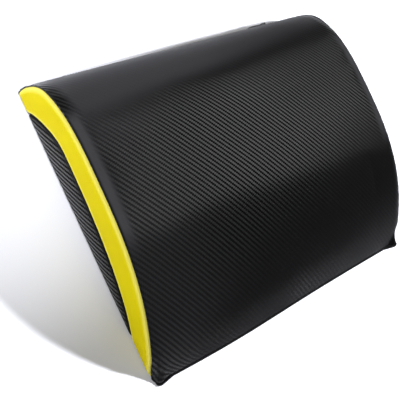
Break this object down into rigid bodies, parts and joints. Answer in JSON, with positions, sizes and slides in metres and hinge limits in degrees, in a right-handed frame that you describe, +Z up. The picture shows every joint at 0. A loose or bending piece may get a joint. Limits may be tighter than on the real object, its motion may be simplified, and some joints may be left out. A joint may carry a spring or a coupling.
{
  "type": "ab mat",
  "caption": "Domed sit-up mat: foam block in a sewn two-colour cover with a flat non-slip base and a zip in its tall end wall.",
  "frame": {"origin": "centre of the flat underside, half way across and half way along the dome's depth", "axes": "+Z up from the floor; +X across the mat, to the right seen from the thin front end; +Y towards the tall blunt end"},
  "size_m": [0.376, 0.3106, 0.0695],
  "materials": {
    "foam": "closed fine-cell foam",
    "black_vinyl": "satin coated cloth with a twill relief",
    "yellow_vinyl": "satin smooth coated cloth",
    "base_cloth": "matte woven, non-slip",
    "thread": "bonded sewing thread",
    "zip_cloth": "woven tape",
    "zip_nylon": "satin",
    "zip_metal": "dark satin"
  },
  "bodies": {
    "mat": {"foam_core": "foam", "top_cover": "black_vinyl", "base_cover": "base_cloth", "accent_band_left": "yellow_vinyl", "accent_band_right": "yellow_vinyl", "side_panel_left": "black_vinyl", "side_panel_right": "black_vinyl", "upper_seam_left": "thread", "upper_seam_right": "thread", "lower_seam_left": "thread", "lower_seam_right": "thread", "base_seam": "thread", "zip_tape_upper": "zip_cloth", "zip_tape_lower": "zip_cloth", "zip_row_upper": "zip_nylon", "zip_row_lower": "zip_nylon", "zip_stop_upper": "zip_metal", "zip_stop_lower": "zip_metal", "zip_stop_end": "zip_metal"},
    "slider": {"zip_slider": "zip_metal"},
    "pull": {"zip_pull": "zip_metal"}
  },
  "joints": [
    {"name": "zip_slide", "type": "slide", "parent": "mat", "child": "slider", "axis": [-1, 0, 0], "range_m": [0, 0.2694]},
    {"name": "pull_swing", "type": "hinge", "parent": "slider", "child": "pull", "pos_m": [0.1347, 0.15226, 0.01319], "axis": [0, 0.193, -0.9812], "range_deg": [0, 175]}
  ]
}
